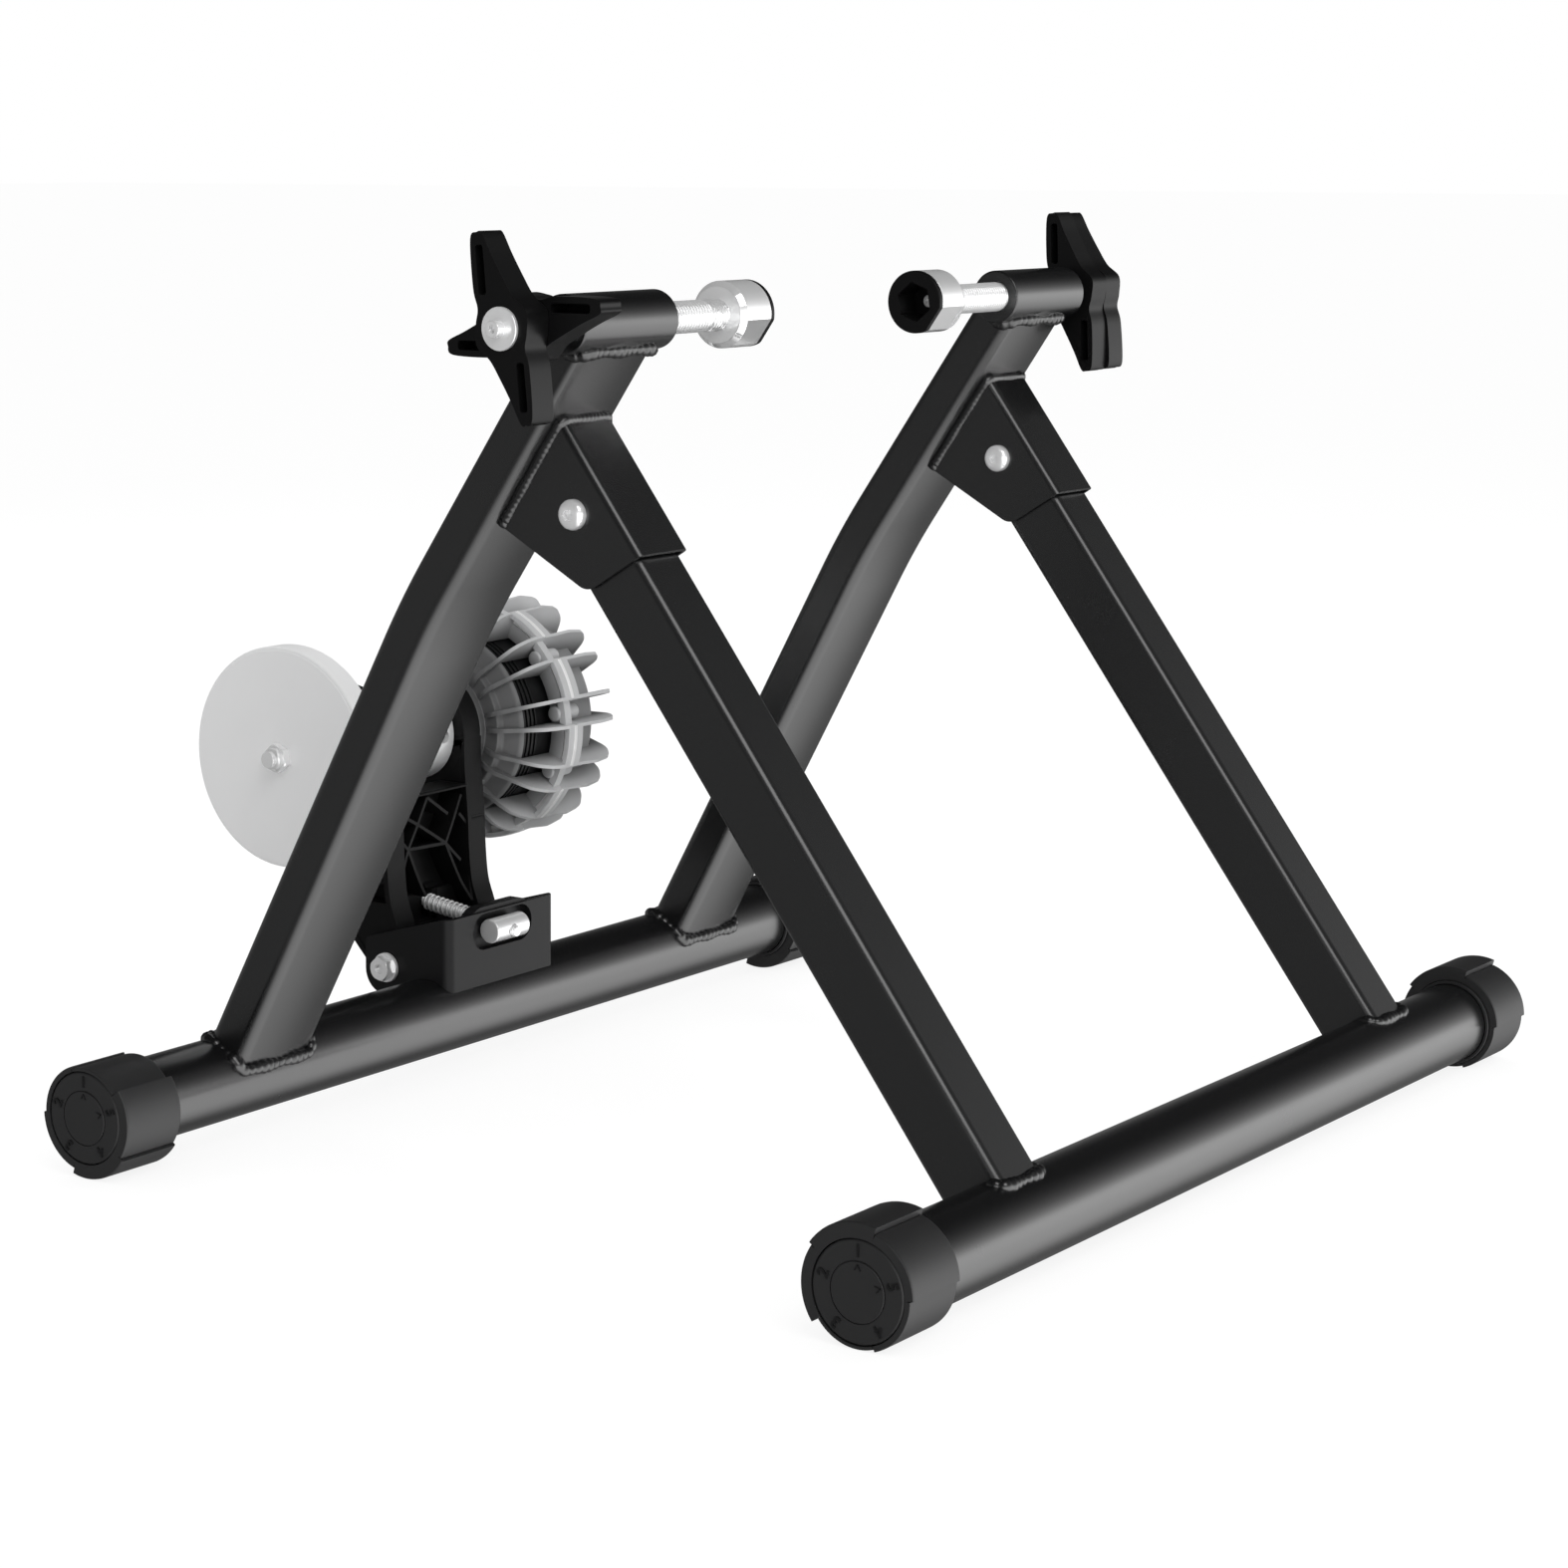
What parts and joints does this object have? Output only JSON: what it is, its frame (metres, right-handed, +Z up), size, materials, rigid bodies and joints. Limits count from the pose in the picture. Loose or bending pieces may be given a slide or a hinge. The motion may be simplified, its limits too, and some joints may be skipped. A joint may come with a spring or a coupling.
{
  "type": "folding indoor bike trainer",
  "caption": "Folding stand that clamps a bicycle's rear axle between screw cups, with a tilting roller unit, flywheel and finned fluid housing.",
  "frame": {"origin": "bottom centre of the stand's bounding box, on the floor", "axes": "+Z up; X along the base tubes and the wheel axle, flywheel side at -X; the bare front base tube at -Y, the roller unit at +Y"},
  "size_m": [0.566, 0.5544, 0.4137],
  "materials": {
    "frame_paint": "satin black powder coat",
    "black_plastic": "moulded black plastic",
    "yoke_black": "black glass-filled nylon",
    "zinc": "bright zinc plate",
    "chrome": "polished chrome plate",
    "roller_alloy": "machined aluminium",
    "flywheel_steel": "machined pale steel",
    "housing_alloy": "die-cast, grey paint",
    "core_black": "black coated"
  },
  "bodies": {
    "rear_frame": {"rear_base_tube": "frame_paint", "rear_plug_left": "black_plastic", "rear_plug_right": "black_plastic", "rear_upright_left": "frame_paint", "rear_upright_right": "frame_paint", "clamp_sleeve_left": "frame_paint", "clamp_sleeve_right": "frame_paint", "hinge_bracket_left": "frame_paint", "hinge_bracket_right": "frame_paint", "hinge_bolt_left": "zinc", "hinge_bolt_right": "zinc", "hinge_nut_left": "zinc", "hinge_nut_right": "zinc", "unit_bracket": "frame_paint", "pivot_bolt": "zinc", "pivot_nut": "zinc"},
    "front_frame": {"front_base_tube": "frame_paint", "front_plug_left": "black_plastic", "front_plug_right": "black_plastic", "front_leg_left": "frame_paint", "front_leg_right": "frame_paint"},
    "front_ring_left": {"front_foot_ring_left": "black_plastic"},
    "front_ring_right": {"front_foot_ring_right": "black_plastic"},
    "rear_ring_left": {"rear_foot_ring_left": "black_plastic"},
    "rear_ring_right": {"rear_foot_ring_right": "black_plastic"},
    "cup_left": {"axle_cup_left": "chrome", "cup_liner_left": "black_plastic"},
    "clamp_left": {"clamp_screw_left": "zinc", "turn_knob_left": "black_plastic", "knob_washer_left": "zinc", "knob_screw_left": "zinc", "cup_screw_left": "zinc"},
    "lock_left": {"lock_knob_left": "black_plastic"},
    "cup_right": {"axle_cup_right": "chrome", "cup_liner_right": "black_plastic"},
    "clamp_right": {"clamp_screw_right": "zinc", "turn_knob_right": "black_plastic", "knob_washer_right": "zinc", "knob_screw_right": "zinc", "cup_screw_right": "zinc"},
    "lock_right": {"lock_knob_right": "black_plastic"},
    "roller_yoke": {"yoke": "yoke_black", "bearing_left": "zinc", "bearing_right": "zinc", "fluid_housing_inner": "housing_alloy", "fluid_housing_outer": "housing_alloy", "fluid_core": "core_black", "shaft_seal": "core_black"},
    "spinning_set": {"spindle": "zinc", "roller": "roller_alloy", "roller_set_screw": "zinc", "flywheel": "flywheel_steel", "flywheel_nut": "zinc", "impeller": "black_plastic"},
    "swing_nut": {"barrel_nut": "zinc", "tension_spring": "zinc"},
    "tension_seat": {"tension_washer": "zinc"},
    "tension_screw": {"tension_bolt": "zinc", "tension_knob": "black_plastic"}
  },
  "joints": [
    {"name": "fold", "type": "hinge", "parent": "rear_frame", "child": "front_frame", "pos_m": [0, -0.04882, 0.29601], "axis": [1, 0, 0], "range_deg": [0, 62]},
    {"name": "front_ring_left_turn", "type": "hinge", "parent": "front_frame", "child": "front_ring_left", "pos_m": [-0.266, -0.25229, 0.0224], "axis": [1, 0, 0], "continuous": true},
    {"name": "front_ring_right_turn", "type": "hinge", "parent": "front_frame", "child": "front_ring_right", "pos_m": [0.266, -0.25229, 0.0224], "axis": [1, 0, 0], "continuous": true},
    {"name": "rear_ring_left_turn", "type": "hinge", "parent": "rear_frame", "child": "rear_ring_left", "pos_m": [-0.259, 0.15578, 0.0274], "axis": [1, 0, 0], "continuous": true},
    {"name": "rear_ring_right_turn", "type": "hinge", "parent": "rear_frame", "child": "rear_ring_right", "pos_m": [0.259, 0.15578, 0.0274], "axis": [1, 0, 0], "continuous": true},
    {"name": "cup_left_slide", "type": "slide", "parent": "rear_frame", "child": "cup_left", "axis": [1, 0, 0], "range_m": [-0.032, 0.0058]},
    {"name": "clamp_left_turn", "type": "hinge", "parent": "cup_left", "child": "clamp_left", "pos_m": [-0.15, -0.05509, 0.37474], "axis": [1, 0, 0], "range_deg": [-5765, 1049]},
    {"name": "lock_left_turn", "type": "hinge", "parent": "cup_left", "child": "lock_left", "pos_m": [-0.22, -0.05509, 0.37474], "axis": [1, 0, 0], "range_deg": [0, 1020]},
    {"name": "cup_right_slide", "type": "slide", "parent": "rear_frame", "child": "cup_right", "axis": [1, 0, 0], "range_m": [-0.001, 0.036]},
    {"name": "clamp_right_turn", "type": "hinge", "parent": "cup_right", "child": "clamp_right", "pos_m": [0.15, -0.05509, 0.37474], "axis": [1, 0, 0], "range_deg": [-185, 6485]},
    {"name": "lock_right_turn", "type": "hinge", "parent": "cup_right", "child": "lock_right", "pos_m": [0.22, -0.05509, 0.37474], "axis": [1, 0, 0], "range_deg": [-180, 0]},
    {"name": "yoke_tilt", "type": "hinge", "parent": "rear_frame", "child": "roller_yoke", "pos_m": [0, 0.18052, 0.0492], "axis": [-1, 0, 0], "range_deg": [-6, 13.98]},
    {"name": "roller_spin", "type": "hinge", "parent": "roller_yoke", "child": "spinning_set", "pos_m": [0, 0.21422, 0.15513], "axis": [1, 0, 0], "continuous": true},
    {"name": "nut_swing", "type": "hinge", "parent": "rear_frame", "child": "swing_nut", "pos_m": [0, 0.1398, 0.06671], "axis": [-1, 0, 0], "range_deg": [-2.5, 5.7]},
    {"name": "washer_slide", "type": "slide", "parent": "swing_nut", "child": "tension_seat", "axis": [0, 0.9886, 0.1508], "range_m": [-0.00236, 0.00547], "deforming": ["tension_spring"]},
    {"name": "tension_turn", "type": "hinge", "parent": "tension_seat", "child": "tension_screw", "pos_m": [0, 0.1398, 0.06671], "axis": [0, 0.9886, 0.1508], "range_deg": [-842, 1963]}
  ],
  "couplings": [
    {"joint": "clamp_left_turn", "follows": "cup_left_slide", "rad_per_m": 3141.6},
    {"joint": "clamp_right_turn", "follows": "cup_right_slide", "rad_per_m": 3141.6},
    {"joint": "tension_turn", "follows": "yoke_tilt", "ratio": 140.12},
    {"joint": "nut_swing", "follows": "yoke_tilt", "ratio": 0.40003},
    {"joint": "washer_slide", "follows": "yoke_tilt", "m_per_rad": 0.022299}
  ]
}
